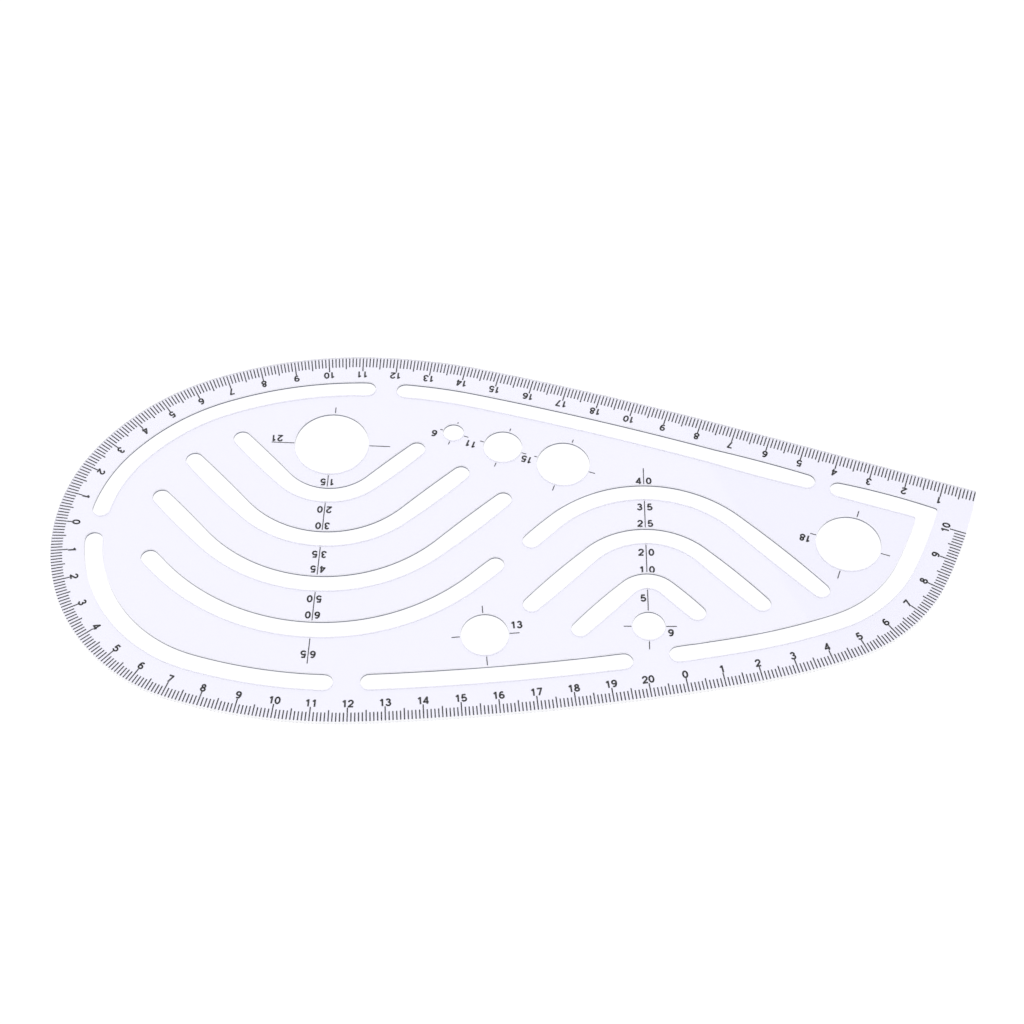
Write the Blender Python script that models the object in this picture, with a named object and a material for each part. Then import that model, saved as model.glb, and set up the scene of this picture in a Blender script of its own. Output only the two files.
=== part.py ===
"""French curve: one flat clear sheet with a scaled edge, tracing slots and circle holes.

The sheet lies on the plane z = 0 with its long side along X. The origin is under the middle of its
bounding box. The rounded end points to -X and the sharp tip of the scale to +X.
"""

import bmesh
import bpy
from math import asin, ceil, cos, pi, radians, sin
from mathutils import Vector
from mathutils.geometry import intersect_line_line_2d, intersect_point_line

MM = 0.001

# Overall sizes.
LENGTH = 255.4 * MM
WIDTH = 120.0 * MM
THICKNESS = 1.2 * MM

# The edge as it is drawn: from the tip, a straight run and then a chain of tangent arcs, each
# (degrees of turn, radius in mm), anticlockwise. A last short straight run closes it at the tip.
TIP_HEADING = 162.0
STRAIGHT_RUN = 72.8
EDGE_ARCS = (
    (4.4, 925.0),
    (12.4, 154.0),
    (22.2, 116.0),
    (29.5, 70.0),
    (112.3, 53.3),
    (20.1, 147.0),
    (7.9, 736.0),
    (9.6, 180.0),
    (42.3, 48.0),
    (11.8, 148.0),
)
EDGE_STEP = 4.0

# Every slot is milled with the same round cutter.
SLOT_WIDTH = 5.0 * MM
CAP_STEPS = 10

# Border slots: a ring cut this far in from the edge, broken by bridges. Each bridge is (its place, as
# a share of the way round from the tip, and its width measured along the edge). The whole ring sits
# RING_SHIFT nearer the +Y side, so the scale's band is a little narrower there.
SCALE_BAND = 9.1 * MM
RING_SHIFT = 0.4 * MM
BRIDGES = (
    (0.0669, 4.2 * MM),
    (0.2795, 6.8 * MM),
    (0.4725, 8.1 * MM),
    (0.6660, 7.9 * MM),
    (0.8005, 9.9 * MM),
)
CORNER_RADIUS = 1.0 * MM
CORNER_STEPS = 4

# The field is what the ring leaves inside it. The rows and the circle holes are placed by shares of it.
FIELD_LENGTH = LENGTH - 2 * (SCALE_BAND + SLOT_WIDTH)
FIELD_WIDTH = WIDTH - 2 * (SCALE_BAND + SLOT_WIDTH)

# Two rows of nested curve slots. A row is concentric, and each slot leaves its arc for straight arms
# ARM_ANGLE either side of the row's axis. Its centre is given as shares of the field's length and width
# from the middle. The step between radii follows the field's width, so the nest still fits another
# sheet. The reaches are how far the arms go from the axis, clockwise and anticlockwise side, as shares
# of NEST_SPAN. That is the field's length, or what its width leaves room for where that is less.
RADIUS_STEP = FIELD_WIDTH * 0.1585
NEST_SPAN = min(FIELD_LENGTH, FIELD_WIDTH * 2.475)
ARM_ANGLE = radians(45.0)
LEFT_ROW_AXIS = radians(-92.4)
LEFT_ROW_PLACE = (-0.2312, 0.3190)
LEFT_ROW_FIRST_RADIUS = 17.5 * MM
LEFT_ROW_REACHES = ((0.1122, 0.1059), (0.1673, 0.1629), (0.2007, 0.2167), (0.2029, 0.2121))
LEFT_ROW_TAIL = 7.7 * MM
RIGHT_ROW_AXIS = radians(90.0)
RIGHT_ROW_PLACE = (0.1550, -0.2554)
RIGHT_ROW_FIRST_RADIUS = 7.5 * MM
RIGHT_ROW_REACHES = ((0.0577, 0.0808), (0.1351, 0.1378), (0.2064, 0.1382))
RIGHT_ROW_TAIL = 5.8 * MM
ROW_STEP = 4.0 * MM
ROW_STEP_ANGLE = radians(7.5)

# Circle holes: name, diameter, place as shares of the field from the middle, turn of its cross in
# degrees, and the lengths in mm of the cross lines that leave it to the right, top, left and bottom. A
# line of length 0 isn't printed, because a row's axis line takes its place.
HOLES = (
    ("hole_21", 21.0 * MM, LEFT_ROW_PLACE, -2.4, (6.0, 2.5, 6.6, 0.0)),
    ("hole_6", 6.0 * MM, (-0.0803, 0.3644), -19.0, (1.5, 1.0, 1.0, 1.2)),
    ("hole_11", 11.0 * MM, (-0.0187, 0.3110), -19.0, (1.5, 1.4, 1.3, 1.5)),
    ("hole_15", 15.0 * MM, (0.0562, 0.2478), -19.0, (1.9, 1.6, 1.1, 1.9)),
    ("hole_18", 18.0 * MM, (0.3995, -0.0387), -19.0, (2.7, 2.6, 1.8, 2.8)),
    ("hole_13", 13.0 * MM, (-0.0380, -0.3612), 5.0, (2.8, 2.7, 2.4, 2.8)),
    ("hole_9", 9.0 * MM, (RIGHT_ROW_PLACE[0], -0.3285), 0.0, (3.0, 0.0, 2.2, 2.6)),
)
HOLE_STEPS = 48

# Printed lines: ink stamped into shallow grooves in the underside, kept this far from every cut edge.
INK_WIDTH = 0.25 * MM
INK_DEPTH = 0.03 * MM
INK_MARGIN = 0.15 * MM


def clear_scene():
    for old in list(bpy.data.objects):
        bpy.data.objects.remove(old, do_unlink=True)


def direction(angle):
    return Vector((cos(angle), sin(angle)))


def place(across, along):
    """A point given as shares of the field's length and width, from the middle of the sheet."""
    return Vector((across * FIELD_LENGTH, along * FIELD_WIDTH))


def clear_plastic():
    material = bpy.data.materials.new("clear_acrylic")
    material.use_nodes = True
    shader = material.node_tree.nodes["Principled BSDF"]
    shader.inputs["Base Color"].default_value = (0.91, 0.90, 0.97, 1.0)
    shader.inputs["Roughness"].default_value = 0.08
    shader.inputs["Metallic"].default_value = 0.0
    shader.inputs["IOR"].default_value = 1.49
    return material


def black_ink():
    material = bpy.data.materials.new("black_ink")
    material.use_nodes = True
    shader = material.node_tree.nodes["Principled BSDF"]
    shader.inputs["Base Color"].default_value = (0.012, 0.010, 0.013, 1.0)
    shader.inputs["Roughness"].default_value = 0.55
    shader.inputs["Metallic"].default_value = 0.0
    return material


# The edge of the sheet


def drawn_edge():
    """Points of the edge in mm, anticlockwise from the tip, before it is fitted to its size."""
    heading = radians(TIP_HEADING)
    points = [Vector((0.0, 0.0))]
    for done in range(1, ceil(STRAIGHT_RUN / EDGE_STEP) + 1):
        run = STRAIGHT_RUN * done / ceil(STRAIGHT_RUN / EDGE_STEP)
        points.append(direction(heading) * run)
    for turn, radius in EDGE_ARCS:
        steps = ceil(radius * radians(turn) / EDGE_STEP)
        half = radians(turn) / steps / 2
        for _ in range(steps):
            heading += half
            points.append(points[-1] + direction(heading) * 2 * radius * sin(half))
            heading += half
    return points


def fitted(points):
    """The same outline stretched to LENGTH by WIDTH, with its box's middle at the origin."""
    low = Vector((min(p.x for p in points), min(p.y for p in points)))
    high = Vector((max(p.x for p in points), max(p.y for p in points)))
    middle = (low + high) / 2
    span = high - low
    scale = Vector((LENGTH / span.x, WIDTH / span.y))
    return [Vector(((p.x - middle.x) * scale.x, (p.y - middle.y) * scale.y)) for p in points]


def stations(points):
    """Each edge point with its distance from the tip and its inward direction."""
    closed = points + [points[0]]
    found = []
    gone = 0.0
    for i, point in enumerate(closed):
        before = closed[max(i - 1, 0)]
        after = closed[min(i + 1, len(closed) - 1)]
        along = (after - before).normalized()
        if i:
            gone += (point - before).length
        found.append((gone, point, Vector((-along.y, along.x))))
    return found


def edge_at(edge, distance):
    """The point and inward direction a distance along the edge from the tip."""
    for (a, p, n), (b, q, m) in zip(edge, edge[1:]):
        if distance <= b:
            share = (distance - a) / (b - a)
            return p.lerp(q, share), n.lerp(m, share).normalized()
    return edge[-1][1], edge[-1][2]


def edge_run(edge, start, stop):
    """The edge's points and inward directions from start to stop."""
    between = [(p, n) for s, p, n in edge if start + SLOT_WIDTH / 4 < s < stop - SLOT_WIDTH / 4]
    return [edge_at(edge, start)] + between + [edge_at(edge, stop)]


# Slots


def offset(run, distance):
    return [point + normal * distance for point, normal in run]


def round_end(first, last):
    """Points of the half circle from first to last, which bulges to the right of that way."""
    middle = (first + last) / 2
    spoke = first - middle
    turns = [pi * i / CAP_STEPS for i in range(1, CAP_STEPS)]
    return [
        middle + Vector((spoke.x * cos(t) - spoke.y * sin(t), spoke.x * sin(t) + spoke.y * cos(t)))
        for t in turns
    ]


def slot_outline(near_side, far_side):
    """A closed outline from a slot's two long sides, with round ends. The far side is on the left."""
    back = far_side[::-1]
    return near_side + round_end(near_side[-1], back[0]) + back + round_end(back[-1], near_side[0])


def slot_along(run, near, far):
    return slot_outline(offset(run, near), offset(run, far))


def rounded_corner(before, corner, after):
    """A corner replaced by a small curve between its two sides."""
    start = corner + (before - corner).normalized() * CORNER_RADIUS
    end = corner + (after - corner).normalized() * CORNER_RADIUS
    shares = [i / CORNER_STEPS for i in range(CORNER_STEPS + 1)]
    return [start.lerp(corner, t).lerp(corner.lerp(end, t), t) for t in shares]


def joined_at_crossing(first, second):
    """Two chains of points cut back to where they cross, and joined there by a rounded corner."""
    for i in range(len(first) - 1, 0, -1):
        for j in range(len(second) - 1):
            cross = intersect_line_line_2d(first[i - 1], first[i], second[j], second[j + 1])
            if cross:
                corner = Vector(cross)
                before = [p for p in first[:i] if (p - corner).length > CORNER_RADIUS]
                after = [p for p in second[j + 1 :] if (p - corner).length > CORNER_RADIUS]
                return before + rounded_corner(before[-1], corner, after[0]) + after
    return first + second


def border_slots(edge):
    """The ring of slots that follows the edge. The last one turns the corner at the tip."""
    total = edge[-1][0]
    near = SCALE_BAND
    far = SCALE_BAND + SLOT_WIDTH
    reach = SLOT_WIDTH / 2
    outlines = []
    for (here, width), (there, next_width) in zip(BRIDGES, BRIDGES[1:]):
        start = here * total + width / 2 + reach
        stop = there * total - next_width / 2 - reach
        outlines.append(slot_along(edge_run(edge, start, stop), near, far))
    before_tip = edge_run(edge, BRIDGES[-1][0] * total + BRIDGES[-1][1] / 2 + reach, total)
    after_tip = edge_run(edge, 0.0, BRIDGES[0][0] * total - BRIDGES[0][1] / 2 - reach)
    near_side = joined_at_crossing(offset(before_tip, near), offset(after_tip, near))
    far_side = joined_at_crossing(offset(before_tip, far), offset(after_tip, far))
    outlines.append(slot_outline(near_side, far_side))
    shift = Vector((0.0, RING_SHIFT))
    return [[point + shift for point in outline] for outline in outlines]


def curve_slot(centre, axis, radius, reaches):
    """A slot that is an arc round centre, with a straight arm on each side as far as its reach."""
    turns = [min(ARM_ANGLE, asin(min(reach / radius, 1.0))) for reach in reaches]
    arms = [(reach - radius * sin(turn)) / cos(turn) for reach, turn in zip(reaches, turns)]
    sweep = turns[0] + turns[1]
    steps = ceil(max(radius * sweep / ROW_STEP, sweep / ROW_STEP_ANGLE))
    run = []
    for i in range(steps + 1):
        out = direction(axis - turns[0] + sweep * i / steps)
        run.append((centre + out * radius, -out))
    first_out = -run[0][1]
    last_out = -run[-1][1]
    first_tip = run[0][0] + Vector((first_out.y, -first_out.x)) * arms[0]
    last_tip = run[-1][0] + Vector((-last_out.y, last_out.x)) * arms[1]
    run = [(first_tip, -first_out)] * (arms[0] > 0) + run + [(last_tip, -last_out)] * (arms[1] > 0)
    return slot_along(run, -SLOT_WIDTH / 2, SLOT_WIDTH / 2)


def left_row_radii():
    return [LEFT_ROW_FIRST_RADIUS + RADIUS_STEP * i for i in range(len(LEFT_ROW_REACHES))]


def right_row_radii():
    return [RIGHT_ROW_FIRST_RADIUS + RADIUS_STEP * i for i in range(len(RIGHT_ROW_REACHES))]


def row_slots(centre, axis, radii, reaches):
    lengths = [(a * NEST_SPAN, b * NEST_SPAN) for a, b in reaches]
    return [curve_slot(centre, axis, radius, reach) for radius, reach in zip(radii, lengths)]


def circle(centre, diameter):
    turns = [2 * pi * i / HOLE_STEPS for i in range(HOLE_STEPS)]
    return [centre + direction(turn) * diameter / 2 for turn in turns]


def all_cuts(edge):
    cuts = border_slots(edge)
    left = place(*LEFT_ROW_PLACE)
    cuts += row_slots(left, LEFT_ROW_AXIS, left_row_radii(), LEFT_ROW_REACHES)
    right = place(*RIGHT_ROW_PLACE)
    cuts += row_slots(right, RIGHT_ROW_AXIS, right_row_radii(), RIGHT_ROW_REACHES)
    cuts += [circle(place(*shares), diameter) for _, diameter, shares, _, _ in HOLES]
    return cuts


# The sheet


def stroke(start, end):
    """The four corners of a straight printed line, anticlockwise."""
    side = (end - start).normalized().orthogonal() * INK_WIDTH / 2
    return [start - side, end - side, end + side, start + side]


def add_loop(bm, points):
    verts = [bm.verts.new((p.x, p.y, 0.0)) for p in points]
    for a, b in zip(verts, verts[1:] + verts[:1]):
        bm.edges.new((a, b))
    return verts


def lift_new_verts(bm, extruded, height):
    verts = [item for item in extruded["geom"] if isinstance(item, bmesh.types.BMVert)]
    bmesh.ops.translate(bm, verts=verts, vec=(0.0, 0.0, height))


def make_sheet(edge, lines, material):
    """The edge and every cut filled as one flat face and raised, with a groove under each line."""
    bm = bmesh.new()
    add_loop(bm, [point for _, point, _ in edge[:-1]])
    for outline in all_cuts(edge):
        add_loop(bm, outline)
    mouths = [add_loop(bm, stroke(start, end)) for _, start, end in lines]
    bmesh.ops.triangle_fill(bm, use_beauty=True, edges=bm.edges[:])
    grooves = [bm.faces.new(mouth) for mouth in mouths]
    raised = bmesh.ops.extrude_face_region(bm, geom=bm.faces[:], use_keep_orig=True)
    lift_new_verts(bm, raised, THICKNESS)
    sunk = bmesh.ops.extrude_discrete_faces(bm, faces=grooves)
    ceilings = [vert for face in sunk["faces"] for vert in face.verts]
    bmesh.ops.translate(bm, verts=ceilings, vec=(0.0, 0.0, INK_DEPTH))
    bmesh.ops.recalc_face_normals(bm, faces=bm.faces[:])
    mesh = bpy.data.meshes.new("sheet")
    bm.to_mesh(mesh)
    bm.free()
    mesh.materials.append(material)
    mesh.shade_smooth()
    mesh.set_sharp_from_angle(angle=radians(30.0))
    sheet = bpy.data.objects.new("sheet", mesh)
    bpy.context.scene.collection.objects.link(sheet)
    return sheet


# Printed lines, each as (name, start, end)


def gap_to_edge(edge, point):
    """The distance from a point to the nearest straight piece of the edge."""
    gaps = []
    for (_, start, _), (_, end, _) in zip(edge, edge[1:]):
        _, share = intersect_point_line(point, start, end)
        nearest = start.lerp(end, min(max(share, 0.0), 1.0))
        gaps.append((point - nearest).length)
    return min(gaps)


def free_tail(edge, start, out, tail):
    """The tail's length, shortened where it would run into a border slot."""
    clear = SCALE_BAND + SLOT_WIDTH + RING_SHIFT + INK_MARGIN
    while tail > INK_WIDTH * 2 and gap_to_edge(edge, start + out * tail) < clear:
        tail -= INK_MARGIN / 2
    return tail


def cross_lines(edge):
    """Up to four short lines round each hole, which point at its centre."""
    sides = ("right", "top", "left", "bottom")
    lines = []
    for name, diameter, shares, tilt, lengths in HOLES:
        centre = place(*shares)
        for quarter, (side, length) in enumerate(zip(sides, lengths)):
            if length:
                out = direction(radians(tilt + 90.0 * quarter))
                start = centre + out * (diameter / 2 + INK_MARGIN)
                rim = centre + out * diameter / 2
                end = rim + out * free_tail(edge, rim, out, length * MM)
                lines.append((f"{name}_cross_{side}", start, end))
    return lines


def axis_lines(name, edge, centre, axis, first, radii, tail):
    """The axis of a row, on the lands between its slots from the distance first on."""
    out = direction(axis)
    start = first
    lines = []
    for number, radius in enumerate(radii, 1):
        begin = centre + out * (start + INK_MARGIN)
        end = centre + out * (radius - SLOT_WIDTH / 2 - INK_MARGIN)
        lines.append((f"{name}_{number}", begin, end))
        start = radius + SLOT_WIDTH / 2
    begin = centre + out * (start + INK_MARGIN)
    end = begin + out * free_tail(edge, begin, out, tail)
    return lines + [(f"{name}_{len(radii) + 1}", begin, end)]


def hole_named(name):
    return next(hole for hole in HOLES if hole[0] == name)


def row_axes(edge):
    """The left row's axis starts at the 21 mm hole's rim, the right row's at the 9 mm hole's."""
    left = place(*LEFT_ROW_PLACE)
    _, diameter, _, _, _ = hole_named("hole_21")
    lines = axis_lines(
        "left_axis", edge, left, LEFT_ROW_AXIS, diameter / 2, left_row_radii(), LEFT_ROW_TAIL
    )
    right = place(*RIGHT_ROW_PLACE)
    _, diameter, shares, _, _ = hole_named("hole_9")
    rim = (place(*shares) - right).y + diameter / 2
    lines += axis_lines(
        "right_axis", edge, right, RIGHT_ROW_AXIS, rim, right_row_radii(), RIGHT_ROW_TAIL
    )
    return lines


def print_line(name, start, end, sheet, material):
    """The ink that fills one groove of the sheet."""
    bm = bmesh.new()
    face = bm.faces.new([bm.verts.new((p - start).to_3d()) for p in stroke(start, end)])
    raised = bmesh.ops.extrude_face_region(bm, geom=[face], use_keep_orig=True)
    lift_new_verts(bm, raised, INK_DEPTH)
    bmesh.ops.recalc_face_normals(bm, faces=bm.faces[:])
    mesh = bpy.data.meshes.new(name)
    bm.to_mesh(mesh)
    bm.free()
    mesh.materials.append(material)
    line = bpy.data.objects.new(name, mesh)
    line.location = start.to_3d()
    line.parent = sheet
    bpy.context.scene.collection.objects.link(line)


def build():
    clear_scene()
    edge = stations(fitted(drawn_edge()))
    lines = row_axes(edge) + cross_lines(edge)
    sheet = make_sheet(edge, lines, clear_plastic())
    ink = black_ink()
    for name, start, end in lines:
        print_line(name, start, end, sheet, ink)


build()
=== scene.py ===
"""Looks of a french curve: a clear acrylic drawing template with a black scale on its underside."""

from math import ceil, cos, radians, sin, tan

import bmesh
import bpy
from mathutils import Euler, Matrix, Vector


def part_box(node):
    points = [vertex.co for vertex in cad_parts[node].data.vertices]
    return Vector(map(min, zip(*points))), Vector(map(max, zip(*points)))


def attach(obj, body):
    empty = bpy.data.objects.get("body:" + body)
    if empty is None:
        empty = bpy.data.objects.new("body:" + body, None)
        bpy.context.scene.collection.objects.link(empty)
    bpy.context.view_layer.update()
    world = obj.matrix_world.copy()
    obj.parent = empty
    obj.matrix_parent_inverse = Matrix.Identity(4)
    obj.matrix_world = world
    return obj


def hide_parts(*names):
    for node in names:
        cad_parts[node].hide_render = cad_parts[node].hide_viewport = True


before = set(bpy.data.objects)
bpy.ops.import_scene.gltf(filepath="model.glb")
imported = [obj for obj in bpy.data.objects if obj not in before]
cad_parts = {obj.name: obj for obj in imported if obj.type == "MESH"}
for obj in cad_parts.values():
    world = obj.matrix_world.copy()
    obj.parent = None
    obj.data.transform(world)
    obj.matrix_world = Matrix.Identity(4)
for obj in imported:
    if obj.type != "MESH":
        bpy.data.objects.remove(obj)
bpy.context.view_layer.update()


# The clear sheet
# One piece of clear cast acrylic. Its outline, slots and holes are milled through the sheet, and the
# cutter leaves the arrises slightly eased. It lies loose on the table, and nothing is fixed to it.

MM = 0.001
ARRIS = 0.03 * MM
ARC_STEP = 1.4 * MM
CORNER = radians(25.0)
ALMOST_STRAIGHT = radians(0.3)
MITRE_LIMIT = 0.5


def rims_of(cad):
    """The outlines of a flat sheet's top face, each a ring of points with the material on its left."""
    bm = bmesh.new()
    bm.from_mesh(cad.data)
    bmesh.ops.remove_doubles(bm, verts=bm.verts[:], dist=0.001 * MM)
    bm.normal_update()
    following = {}
    for face in bm.faces:
        if face.normal.z > 0.9:
            for loop in face.loops:
                wall = [other for other in loop.edge.link_faces if abs(other.normal.z) < 0.1]
                if wall:
                    following[loop.vert] = loop.link_loop_next.vert
    rims = []
    while following:
        start, vert = following.popitem()
        ring = [start]
        while vert is not start:
            ring.append(vert)
            vert = following.pop(vert)
        rims.append([corner.co.to_2d() for corner in ring])
    bm.free()
    return rims


def turn_at(ring, i):
    """How far the ring turns at its point i, or nothing at a real corner."""
    before = ring[i] - ring[i - 1]
    after = ring[(i + 1) % len(ring)] - ring[i]
    turn = -before.angle_signed(after, 0.0)
    return turn if abs(turn) < CORNER else 0.0


def rounded(ring):
    """The ring with its straight chords bulged back into the arcs that the cutter follows."""
    points = []
    for i, start in enumerate(ring):
        end = ring[(i + 1) % len(ring)]
        chord = end - start
        bend = (turn_at(ring, i) + turn_at(ring, (i + 1) % len(ring))) / 2
        rise = chord.length * tan(bend / 4) * 2
        out = Vector((chord.y, -chord.x)).normalized()
        pieces = ceil(chord.length / ARC_STEP) if abs(bend) > ALMOST_STRAIGHT else 1
        for piece in range(pieces):
            share = piece / pieces
            points.append(start + chord * share + out * rise * share * (1 - share))
    return points


def inset(ring, distance):
    """The ring moved into the material on its left."""
    moved = []
    for i, point in enumerate(ring):
        before = (point - ring[i - 1]).normalized()
        after = (ring[(i + 1) % len(ring)] - point).normalized()
        along = (before + after).normalized()
        left = Vector((-along.y, along.x))
        moved.append(point + left * distance / max(along.dot(after), MITRE_LIMIT))
    return moved


def milled_sheet(rims, low, high):
    """A sheet between two heights: eased walls round every rim, the outer one last, and two faces."""
    bm = bmesh.new()
    profile = ((ARRIS, low), (0.0, low + ARRIS), (0.0, high - ARRIS), (ARRIS, high))
    flat_edges = {low: [], high: []}
    for rim in rims:
        wall_index = 2 if rim is rims[-1] else 1
        rings = [[bm.verts.new((*p, height)) for p in inset(rim, depth)] for depth, height in profile]
        for lower, upper in zip(rings, rings[1:]):
            for i in range(len(rim)):
                wall = bm.faces.new((lower[i - 1], lower[i], upper[i], upper[i - 1]))
                wall.material_index = wall_index
                wall.smooth = True
        for ring, height in ((rings[0], low), (rings[-1], high)):
            flat_edges[height] += [bm.edges.get((ring[i - 1], ring[i])) for i in range(len(ring))]
    for edges in flat_edges.values():
        bmesh.ops.triangle_fill(bm, use_beauty=True, edges=edges)
    bmesh.ops.recalc_face_normals(bm, faces=bm.faces[:])
    mesh = bpy.data.meshes.new("clear_sheet")
    bm.to_mesh(mesh)
    bm.free()
    mesh.set_sharp_from_angle(angle=CORNER)
    return mesh


def linear(hex_colour):
    """An sRGB hex colour as a linear RGBA value."""
    channels = [int(hex_colour[i : i + 2], 16) / 255 for i in (1, 3, 5)]
    return [c / 12.92 if c <= 0.04045 else ((c + 0.055) / 1.055) ** 2.4 for c in channels] + [1.0]


def add_node(tree, kind, settings=None, values=None, links=None):
    """Adds a node with its settings, input values and incoming links."""
    node = tree.nodes.new(kind)
    for name, value in (settings or {}).items():
        setattr(node, name, value)
    for socket, value in (values or {}).items():
        node.inputs[socket].default_value = value
    for socket, source in (links or {}).items():
        tree.links.new(source, node.inputs[socket])
    return node


def new_material(name):
    material = bpy.data.materials.new(name)
    material.use_nodes = True
    material.node_tree.nodes.clear()
    return material, material.node_tree


def lamp_clear(tree, solid, tint):
    """Lets the lamps, and the light that the table gives back, through as real thin sheet does."""
    path = add_node(tree, "ShaderNodeLightPath")
    passing = add_node(
        tree, "ShaderNodeMath", {"operation": "MAXIMUM"},
        links={0: path.outputs["Is Shadow Ray"], 1: path.outputs["Is Diffuse Ray"]},
    )
    clear = add_node(tree, "ShaderNodeBsdfTransparent", values={"Color": linear(tint)})
    mix = add_node(
        tree, "ShaderNodeMixShader",
        links={0: passing.outputs[0], 1: solid.outputs[0], 2: clear.outputs[0]},
    )
    add_node(tree, "ShaderNodeOutputMaterial", links={"Surface": mix.outputs[0]})


def polished_acrylic():
    """Cast acrylic as it leaves the casting glass: clear, faintly violet, all but flat."""
    material, tree = new_material("polished_cast_acrylic")
    place = add_node(tree, "ShaderNodeTexCoord")
    # Casting leaves a very slow waviness, some 25 mm from crest to crest.
    waves = add_node(
        tree, "ShaderNodeTexNoise", values={"Scale": 40.0, "Detail": 1.0},
        links={"Vector": place.outputs["Object"]},
    )
    # Handling leaves hair scratches, drawn about 0.1 mm wide so that they show.
    stretched = add_node(
        tree, "ShaderNodeMapping", values={"Rotation": (0.0, 0.0, 0.6), "Scale": (60.0, 3000.0, 60.0)},
        links={"Vector": place.outputs["Object"]},
    )
    hairs = add_node(
        tree, "ShaderNodeTexNoise", values={"Scale": 1.0, "Detail": 2.0},
        links={"Vector": stretched.outputs[0]},
    )
    haze = add_node(
        tree, "ShaderNodeMapRange",
        values={"From Min": 0.62, "From Max": 0.80, "To Min": 0.015, "To Max": 0.10},
        links={"Value": hairs.outputs["Fac"]},
    )
    bump = add_node(
        tree, "ShaderNodeBump", values={"Strength": 0.05, "Distance": 0.02 * MM},
        links={"Height": waves.outputs["Fac"]},
    )
    solid = add_node(
        tree, "ShaderNodeBsdfPrincipled",
        values={
            "Base Color": linear("#f2f1fa"),
            "IOR": 1.49,
            "Transmission Weight": 1.0,
        },
        links={"Roughness": haze.outputs[0], "Normal": bump.outputs[0]},
    )
    lamp_clear(tree, solid, "#fdfdff")
    return material


def milled_edge():
    """The cut wall with painted shade: light at the top, and painted blue-grey shade darkening its foot.
    """
    material, tree = new_material("milled_acrylic_edge_painted_shade")
    place = add_node(tree, "ShaderNodeTexCoord")
    # The cutter leaves a fine mottle on the wall, about 0.2 mm from patch to patch.
    mottle = add_node(
        tree, "ShaderNodeTexNoise", values={"Scale": 5000.0, "Detail": 1.0},
        links={"Vector": place.outputs["Object"]},
    )
    height = add_node(tree, "ShaderNodeSeparateXYZ", links={0: place.outputs["Object"]})
    # The painted dark shade at the foot is about 0.5 mm high, and the mottle frays its upper edge.
    frayed = add_node(
        tree, "ShaderNodeMath", {"operation": "MULTIPLY_ADD"}, {1: 0.15 * MM},
        {0: mottle.outputs["Fac"], 2: height.outputs["Z"]},
    )
    rise = add_node(
        tree, "ShaderNodeMapRange",
        values={"From Min": 0.45 * MM, "From Max": 0.70 * MM},
        links={"Value": frayed.outputs[0]},
    )
    # Seen from inside the sheet, the painted shade at the foot shows only faintly.
    side = add_node(tree, "ShaderNodeNewGeometry")
    inside = add_node(
        tree, "ShaderNodeMath", {"operation": "MULTIPLY"}, {1: 0.80},
        {0: side.outputs["Backfacing"]},
    )
    light = add_node(
        tree, "ShaderNodeMath", {"operation": "MAXIMUM"}, None,
        {0: rise.outputs[0], 1: inside.outputs[0]},
    )
    tone = add_node(tree, "ShaderNodeValToRGB", links={"Fac": light.outputs[0]})
    # The dark stop is painted shade for the wall's foot, and the light stop is the wall's own pale tone.
    tone.color_ramp.elements[0].color = linear("#454c60")
    tone.color_ramp.elements[1].color = linear("#f6f5fd")
    solid = add_node(
        tree, "ShaderNodeBsdfPrincipled",
        values={"Roughness": 0.3, "IOR": 1.49, "Transmission Weight": 0.15},
        links={"Base Color": tone.outputs["Color"]},
    )
    lamp_clear(tree, solid, "#f9f9fd")
    return material


def satin_edge():
    """The outer rim: scraped to a light satin, so it shows no dark line."""
    material, tree = new_material("satin_scraped_acrylic_edge")
    place = add_node(tree, "ShaderNodeTexCoord")
    # The scraper leaves a soft chatter, about 0.5 mm from crest to crest.
    chatter = add_node(
        tree, "ShaderNodeTexNoise", values={"Scale": 2000.0, "Detail": 1.0},
        links={"Vector": place.outputs["Object"]},
    )
    tone = add_node(tree, "ShaderNodeValToRGB", links={"Fac": chatter.outputs["Fac"]})
    tone.color_ramp.elements[0].color = linear("#f7f7fc")
    tone.color_ramp.elements[1].color = linear("#ffffff")
    solid = add_node(
        tree, "ShaderNodeBsdfPrincipled",
        values={"Roughness": 0.35, "IOR": 1.49, "Transmission Weight": 0.1},
        links={"Base Color": tone.outputs["Color"]},
    )
    lamp_clear(tree, solid, "#fdfdff")
    return material


cad_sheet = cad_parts["sheet"]
rims = sorted((rounded(ring) for ring in rims_of(cad_sheet)), key=len)
bottom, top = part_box("sheet")[0].z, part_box("sheet")[1].z
PRINT_RELIEF = 0.01 * MM
clear_sheet = bpy.data.objects.new("clear_sheet", milled_sheet(rims, bottom + PRINT_RELIEF, top))
clear_sheet.data.materials.append(polished_acrylic())
# The inner cut walls carry painted dark shade along their foot.
clear_sheet.data.materials.append(milled_edge())
clear_sheet.data.materials.append(satin_edge())
bpy.context.scene.collection.objects.link(clear_sheet)
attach(clear_sheet, "root")
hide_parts("sheet")


# The ticks of the scale
# Black ink stamped into the underside, one tick for each millimetre of the edge, counted from the
# sharp tip anticlockwise. The fives and the centimetres are longer. The last centimetre has none. The
# die was set a little nearer the tip than the edge's own start.

TICK_COUNT = 600
TICK_SPACING = 1.0 * MM
DIE_SHIFT = -0.8 * MM
EDGE_GAP = 0.15 * MM
INK_DEPTH = 0.03 * MM


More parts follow.
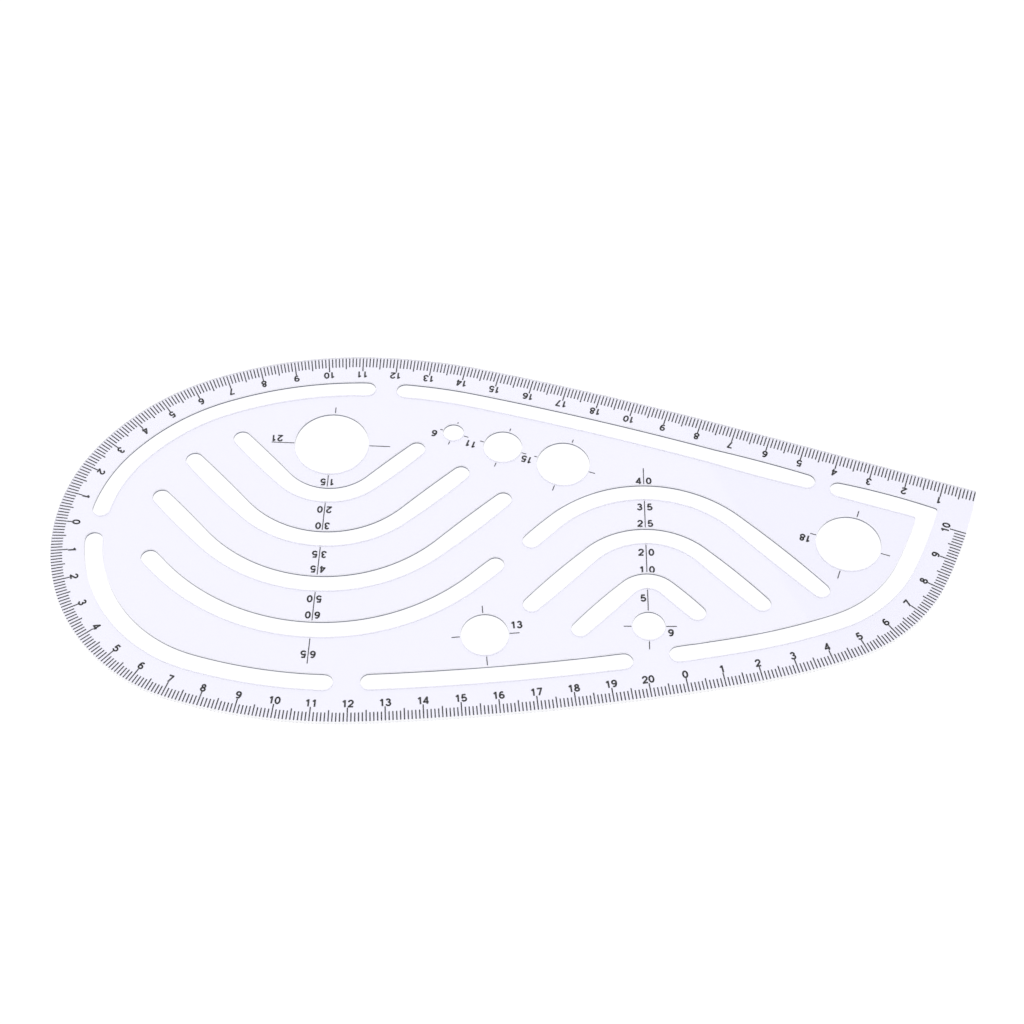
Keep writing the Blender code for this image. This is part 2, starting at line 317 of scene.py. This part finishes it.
def stamped_ink():
    """Black stamping ink: dense and nearly matt, a little thinner where the die pressed unevenly."""
    material, tree = new_material("black_stamping_ink")
    place = add_node(tree, "ShaderNodeTexCoord")
    # The mottle of the die, about 0.3 mm across.
    mottle = add_node(
        tree, "ShaderNodeTexNoise", values={"Scale": 3000.0, "Detail": 2.0},
        links={"Vector": place.outputs["Object"]},
    )
    tone = add_node(tree, "ShaderNodeValToRGB", links={"Fac": mottle.outputs["Fac"]})
    tone.color_ramp.elements[0].position = 0.35
    tone.color_ramp.elements[0].color = linear("#060506")
    tone.color_ramp.elements[1].position = 0.75
    tone.color_ramp.elements[1].color = linear("#110f12")
    sheen = add_node(
        tree, "ShaderNodeMapRange", values={"To Min": 0.45, "To Max": 0.65},
        links={"Value": mottle.outputs["Fac"]},
    )
    solid = add_node(
        tree, "ShaderNodeBsdfPrincipled", values={"IOR": 1.5},
        links={"Base Color": tone.outputs["Color"], "Roughness": sheen.outputs[0]},
    )
    add_node(tree, "ShaderNodeOutputMaterial", links={"Surface": solid.outputs[0]})
    return material


def from_tip(ring):
    """The ring opened at its tip, its farthest point in +X, and ending on it again, anticlockwise."""
    tip = max(range(len(ring)), key=lambda i: ring[i].x)
    return ring[tip:] + ring[: tip + 1]


def tick_tree():
    """Geometry Nodes: a tick at every step of a line, with longer ones at every fifth and tenth."""
    tree = bpy.data.node_groups.new("ticks_along_edge", "GeometryNodeTree")
    sizes = (
        ("Count", "NodeSocketInt"), ("Spacing", "NodeSocketFloat"), ("Shift", "NodeSocketFloat"),
        ("Edge gap", "NodeSocketFloat"),
        ("Line width", "NodeSocketFloat"), ("Ink depth", "NodeSocketFloat"),
        ("Millimetre length", "NodeSocketFloat"), ("Five length", "NodeSocketFloat"),
        ("Centimetre length", "NodeSocketFloat"), ("Ink", "NodeSocketMaterial"),
    )
    tree.interface.new_socket("Geometry", in_out="INPUT", socket_type="NodeSocketGeometry")
    for name, kind in sizes:
        tree.interface.new_socket(name, in_out="INPUT", socket_type=kind)
    tree.interface.new_socket("Geometry", in_out="OUTPUT", socket_type="NodeSocketGeometry")
    given = add_node(tree, "NodeGroupInput").outputs

    def math_result(operation, first, second):
        """The result of a math node; the second value is a number or another node's output."""
        links = {0: first}
        values = {}
        if isinstance(second, (int, float)):
            values[1] = second
        else:
            links[1] = second
        return add_node(tree, "ShaderNodeMath", {"operation": operation}, values, links).outputs[0]

    first = math_result("ADD", given["Spacing"], given["Shift"])
    last = math_result("ADD", math_result("MULTIPLY", given["Count"], given["Spacing"]), given["Shift"])
    line = add_node(tree, "GeometryNodeMeshToCurve", links={"Mesh": given["Geometry"]})
    run = add_node(
        tree, "GeometryNodeTrimCurve", {"mode": "LENGTH"}, None, {"Curve": line.outputs[0]}
    )
    for socket in run.inputs:
        if socket.enabled and socket.name == "Start":
            tree.links.new(first, socket)
        if socket.enabled and socket.name == "End":
            tree.links.new(last, socket)
    places = add_node(
        tree, "GeometryNodeCurveToPoints", {"mode": "COUNT"}, None,
        {"Curve": run.outputs[0], "Count": given["Count"]},
    )
    number = math_result("ADD", add_node(tree, "GeometryNodeInputIndex").outputs[0], 1.0)
    is_five = math_result("COMPARE", math_result("MODULO", number, 5.0), 0.0)
    is_ten = math_result("COMPARE", math_result("MODULO", number, 10.0), 0.0)
    short_or_five = add_node(
        tree, "GeometryNodeSwitch", {"input_type": "FLOAT"}, None,
        {"Switch": is_five, "False": given["Millimetre length"], "True": given["Five length"]},
    )
    reach = add_node(
        tree, "GeometryNodeSwitch", {"input_type": "FLOAT"}, None,
        {"Switch": is_ten, "False": short_or_five.outputs[0], "True": given["Centimetre length"]},
    )
    ahead = add_node(tree, "ShaderNodeSeparateXYZ", links={0: places.outputs["Tangent"]})
    heading = add_node(
        tree, "ShaderNodeMath", {"operation": "ARCTAN2"}, None,
        {0: ahead.outputs["Y"], 1: ahead.outputs["X"]},
    )
    turn = add_node(tree, "ShaderNodeCombineXYZ", links={"Z": heading.outputs[0]})
    stretch = add_node(
        tree, "ShaderNodeCombineXYZ", values={"X": 1.0, "Z": 1.0}, links={"Y": reach.outputs[0]}
    )
    bar_size = add_node(
        tree, "ShaderNodeCombineXYZ", values={"Y": 1.0},
        links={"X": given["Line width"], "Z": given["Ink depth"]},
    )
    bar = add_node(tree, "GeometryNodeMeshCube", links={"Size": bar_size.outputs[0]})
    bar_shift = add_node(
        tree, "ShaderNodeCombineXYZ", values={"Y": 0.5},
        links={"Z": math_result("MULTIPLY", given["Ink depth"], 0.5)},
    )
    bar_from_edge = add_node(
        tree, "GeometryNodeTransform",
        links={"Geometry": bar.outputs["Mesh"], "Translation": bar_shift.outputs[0]},
    )
    ticks = add_node(
        tree, "GeometryNodeInstanceOnPoints",
        links={
            "Points": places.outputs["Points"], "Instance": bar_from_edge.outputs[0],
            "Rotation": turn.outputs[0], "Scale": stretch.outputs[0],
        },
    )
    gap = add_node(tree, "ShaderNodeCombineXYZ", links={"Y": given["Edge gap"]})
    moved = add_node(
        tree, "GeometryNodeTranslateInstances", {}, {"Local Space": True},
        {"Instances": ticks.outputs[0], "Translation": gap.outputs[0]},
    )
    real = add_node(tree, "GeometryNodeRealizeInstances", links={0: moved.outputs[0]})
    inked = add_node(
        tree, "GeometryNodeSetMaterial",
        links={"Geometry": real.outputs[0], "Material": given["Ink"]},
    )
    add_node(tree, "NodeGroupOutput", links={0: inked.outputs[0]})
    return tree


def made_by_nodes(name, mesh, tree, sizes):
    """A plain mesh object from a mesh run through a node tree with these named sizes."""
    source = bpy.data.objects.new(name, mesh)
    bpy.context.scene.collection.objects.link(source)
    modifier = source.modifiers.new("nodes", "NODES")
    modifier.node_group = tree
    for item in tree.interface.items_tree:
        if item.in_out == "INPUT" and item.name in sizes:
            modifier[item.identifier] = sizes[item.name]
    bpy.context.view_layer.update()
    evaluated = source.evaluated_get(bpy.context.evaluated_depsgraph_get())
    made = bpy.data.meshes.new_from_object(evaluated)
    source.modifiers.clear()
    source.data = made
    made.name = name
    return source


ink = stamped_ink()
edge = from_tip(rims[-1])
edge_mesh = bpy.data.meshes.new("edge_line")
edge_mesh.from_pydata([(*p, bottom) for p in edge], [(i, i + 1) for i in range(len(edge) - 1)], [])
ticks = made_by_nodes(
    "scale_ticks", edge_mesh, tick_tree(),
    {
        "Count": TICK_COUNT, "Spacing": TICK_SPACING, "Shift": DIE_SHIFT, "Edge gap": EDGE_GAP,
        "Line width": 0.32 * MM, "Ink depth": INK_DEPTH, "Millimetre length": 3.1 * MM,
        "Five length": 3.8 * MM, "Centimetre length": 4.6 * MM, "Ink": ink,
    },
)
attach(ticks, "root")


# The numbers
# Stamped with the ticks, in a plain sans-serif. The scale's numbers stand with their feet towards
# the edge and count up and down again round it. Each row of slots has its numbers beside its axis,
# and each hole has its diameter.

NUMERAL_HEIGHT = 2.2 * MM
STROKE = 0.21
NIB_SIDES = 12
FOOT_FROM_EDGE = 4.7 * MM
DIGIT_ADVANCE = 1.7 * MM


def arc(centre, radii, start, stop):
    """Points of an elliptic arc between two angles in degrees."""
    steps = ceil(abs(stop - start) / 12.0)
    angles = [radians(start + (stop - start) * i / steps) for i in range(steps + 1)]
    return [(centre[0] + radii[0] * cos(a), centre[1] + radii[1] * sin(a)) for a in angles]


# Each digit is the strokes of the die, in a box one unit high whose foot is at (0, 0).
NUMERALS = {
    "0": [arc((0.0, 0.5), (0.26, 0.42), 0, 360)],
    "1": [[(0.08, 0.0), (0.08, 0.98)], [(0.08, 0.92), (-0.17, 0.70)]],
    "2": [arc((0.0, 0.68), (0.25, 0.24), 170, -35) + [(-0.27, 0.08), (0.29, 0.08)]],
    "3": [arc((0.0, 0.72), (0.20, 0.20), 155, -90), arc((0.0, 0.29), (0.25, 0.23), 90, -160)],
    "4": [[(0.12, 0.95), (-0.30, 0.27), (0.30, 0.27)], [(0.12, 0.0), (0.12, 1.0)]],
    "5": [[(0.22, 0.92), (-0.16, 0.92), (-0.22, 0.50)] + arc((0.0, 0.32), (0.26, 0.25), 140, -150)],
    "6": [arc((0.0, 0.31), (0.25, 0.23), 0, 360), arc((0.03, 0.40), (0.28, 0.50), 180, 60)],
    "7": [[(-0.27, 0.92), (0.27, 0.92), (-0.08, 0.0)]],
    "8": [arc((0.0, 0.73), (0.19, 0.19), 0, 360), arc((0.0, 0.28), (0.25, 0.21), 0, 360)],
    "9": [arc((0.0, 0.69), (0.25, 0.23), 0, 360), arc((-0.03, 0.60), (0.28, 0.50), 0, -120)],
}


class Print:
    """Collects stamped characters into one mesh of thin ink."""

    def __init__(self):
        self.bm = bmesh.new()

    def line(self, start, end, width):
        """A straight stroke: a thin bar of ink with square ends."""
        side = (end - start).normalized().orthogonal() * width / 2
        self.prism([start - side, end - side, end + side, start + side])

    def nib(self, centre, width):
        """The round joint where two strokes meet."""
        turns = [radians(360.0 * i / NIB_SIDES) for i in range(NIB_SIDES)]
        self.prism([centre + Vector((cos(t), sin(t))) * width / 2 for t in turns])

    def prism(self, corners):
        """A closed thin solid of ink over these corners, which run anticlockwise."""
        low = [self.bm.verts.new((*corner, bottom)) for corner in corners]
        high = [self.bm.verts.new((*corner, bottom + INK_DEPTH)) for corner in corners]
        self.bm.faces.new(low[::-1])
        self.bm.faces.new(high)
        for i in range(len(corners)):
            self.bm.faces.new((low[i - 1], low[i], high[i], high[i - 1]))

    def digit(self, character, foot, up, height):
        """One digit with the middle of its foot at a point, pointing up along a direction."""
        right = Vector((up.y, -up.x))
        for stroke in NUMERALS[character]:
            points = [foot + (right * x + up * y) * height for x, y in stroke]
            for start, end in zip(points, points[1:]):
                self.line(start, end, STROKE * height)
            for joint in points[1:-1]:
                self.nib(joint, STROKE * height)

    def number(self, text, foot, up, height, advance):
        """A number centred on a foot point, its digits one advance apart."""
        right = Vector((up.y, -up.x))
        first = foot - right * advance * (len(text) - 1) / 2
        for i, character in enumerate(text):
            self.digit(character, first + right * advance * i, up, height)

    def piece(self, name):
        """The collected characters as thin solids on the underside."""
        mesh = bpy.data.meshes.new(name)
        self.bm.to_mesh(mesh)
        self.bm.free()
        mesh.materials.append(ink)
        made = bpy.data.objects.new(name, mesh)
        bpy.context.scene.collection.objects.link(made)
        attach(made, "root")
        return made


def along_edge(distance):
    """The point of the edge this far from the tip, and its inward direction."""
    gone = 0.0
    for start, end in zip(edge, edge[1:]):
        run = (end - start).length
        if gone + run >= distance:
            along = (end - start) / run
            return start + along * (distance - gone), Vector((-along.y, along.x))
        gone += run
    return edge[-1], Vector((-along.y, along.x))


def scale_number(centimetre):
    """The number at a centimetre mark: up to 10, then down from 18 to 0, up to 20 and, from 0, to 10."""
    if centimetre <= 10:
        return centimetre
    if centimetre <= 29:
        return 29 - centimetre
    if centimetre <= 49:
        return centimetre - 29
    return centimetre - 50


scale_print = Print()
for centimetre in range(1, TICK_COUNT // 10 + 1):
    mark, inward = along_edge(centimetre * 10 * TICK_SPACING + DIE_SHIFT)
    foot = mark + inward * FOOT_FROM_EDGE
    scale_print.number(str(scale_number(centimetre)), foot, inward, NUMERAL_HEIGHT, DIGIT_ADVANCE)
scale_print.piece("scale_numbers")


def heading(degrees):
    return Vector((cos(radians(degrees)), sin(radians(degrees))))


# Each row has its numbers as (number, distance of its middle from the row's centre in mm). The two
# digits of a number stand either side of the axis line, so they are further apart.
LEFT_AXIS = -92.4
LEFT_ADVANCE = 2.5 * MM
LEFT_CENTRE = Vector((-52.54, 29.28)) * MM
LEFT_NUMBERS = (
    (15, 13.0), (20, 22.3), (30, 27.7), (35, 37.1), (45, 41.9), (50, 51.4), (60, 56.5), (65, 68.7),
)
RIGHT_CENTRE = Vector((35.22, -23.45)) * MM
RIGHT_AXIS = 90.0
RIGHT_ADVANCE = 2.8 * MM
RIGHT_NUMBERS = ((10, 11.3), (20, 16.9), (25, 26.4), (35, 31.9), (40, 40.7))
FIVE_PLACE = Vector((-1.25, 2.2)) * MM

row_print = Print()
up = heading(LEFT_AXIS)
for number, distance in LEFT_NUMBERS:
    foot = LEFT_CENTRE + up * (distance * MM - NUMERAL_HEIGHT / 2)
    row_print.number(str(number), foot, up, NUMERAL_HEIGHT, LEFT_ADVANCE)
up = heading(RIGHT_AXIS)
for number, distance in RIGHT_NUMBERS:
    foot = RIGHT_CENTRE + up * (distance * MM - NUMERAL_HEIGHT / 2)
    row_print.number(str(number), foot, up, NUMERAL_HEIGHT, RIGHT_ADVANCE)
# The single 5 stands wholly on the left of the axis line.
row_print.number("5", RIGHT_CENTRE + FIVE_PLACE - up * NUMERAL_HEIGHT / 2, up, NUMERAL_HEIGHT, 0.0)
row_print.piece("slot_numbers")

# The hole numbers as (number, middle in mm, turn in degrees).
HOLE_NUMBERS = (
    ("21", (-68.14, 31.35), 180.0),
    ("6", (-23.74, 33.35), 161.0),
    ("11", (-13.24, 29.65), 161.0),
    ("15", (2.56, 24.35), 161.0),
    ("18", (79.06, -1.65), 161.0),
    ("13", (-0.24, -29.85), 4.0),
    ("9", (41.06, -32.15), 0.0),
)
hole_print = Print()
for text, place, turned in HOLE_NUMBERS:
    up = heading(turned + 90.0)
    foot = Vector(place) * MM - up * NUMERAL_HEIGHT / 2
    hole_print.number(text, foot, up, NUMERAL_HEIGHT, DIGIT_ADVANCE)
hole_print.piece("hole_numbers")


# The axes and the centre marks
# Lines of the same black ink, each filling a shallow groove in the underside: the axis of each row
# of slots, and short marks round each hole that point at its centre.

for name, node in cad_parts.items():
    if name != "sheet":
        node.data.materials.clear()
        node.data.materials.append(ink)


# The table, the light and the camera
# White matt paper, an even white surround and one large lamp above the back left. The camera is in
# front and looks steeply down.

PAPER_REACH = 2.0
PAPER_GAP = 0.02 * MM

floor_mesh = bpy.data.meshes.new("floor")
floor_mesh.from_pydata(
    [(x * PAPER_REACH, y * PAPER_REACH, 0.0) for x, y in ((-1, -1), (1, -1), (1, 1), (-1, 1))],
    [], [(0, 1, 2, 3)],
)
floor_mesh.transform(Matrix.Translation((0.0, 0.0, bottom - PAPER_GAP)))
paper, paper_tree = new_material("white_paper")
matt = add_node(
    paper_tree, "ShaderNodeBsdfPrincipled",
    values={"Base Color": linear("#fbfbfb"), "Roughness": 0.9, "Specular IOR Level": 0.1},
)
add_node(paper_tree, "ShaderNodeOutputMaterial", links={"Surface": matt.outputs[0]})
floor_mesh.materials.append(paper)
floor = bpy.data.objects.new("floor", floor_mesh)
bpy.context.scene.collection.objects.link(floor)

world = bpy.data.worlds.new("studio")
world.use_nodes = True
world.node_tree.nodes["Background"].inputs["Color"].default_value = (1.0, 1.0, 1.0, 1.0)
world.node_tree.nodes["Background"].inputs["Strength"].default_value = 1.05
bpy.context.scene.world = world

softbox = bpy.data.lights.new("softbox", "AREA")
softbox.shape = "RECTANGLE"
softbox.size = 1.6
softbox.size_y = 1.2
softbox.energy = 1.5
softbox_at = bpy.data.objects.new("softbox", softbox)
softbox_at.location = (-0.5, 0.6, 1.3)
softbox_at.rotation_euler = (-softbox_at.location).to_track_quat("-Z", "Y").to_euler()
bpy.context.scene.collection.objects.link(softbox_at)

camera = bpy.data.cameras.new("camera")
camera.lens = 77.2
camera.sensor_width = 36.0
camera.clip_start = 0.01
camera_at = bpy.data.objects.new("camera", camera)
camera_at.location = Vector((-1.54, -334.05, 503.9)) * MM
camera_at.rotation_euler = (
    Euler((radians(34.079), 0.0, 0.0)).to_matrix() @ Euler((0.0, 0.0, radians(0.2925))).to_matrix()
).to_euler()
bpy.context.scene.collection.objects.link(camera_at)
bpy.context.scene.camera = camera_at
bpy.context.scene.view_settings.view_transform = "Standard"
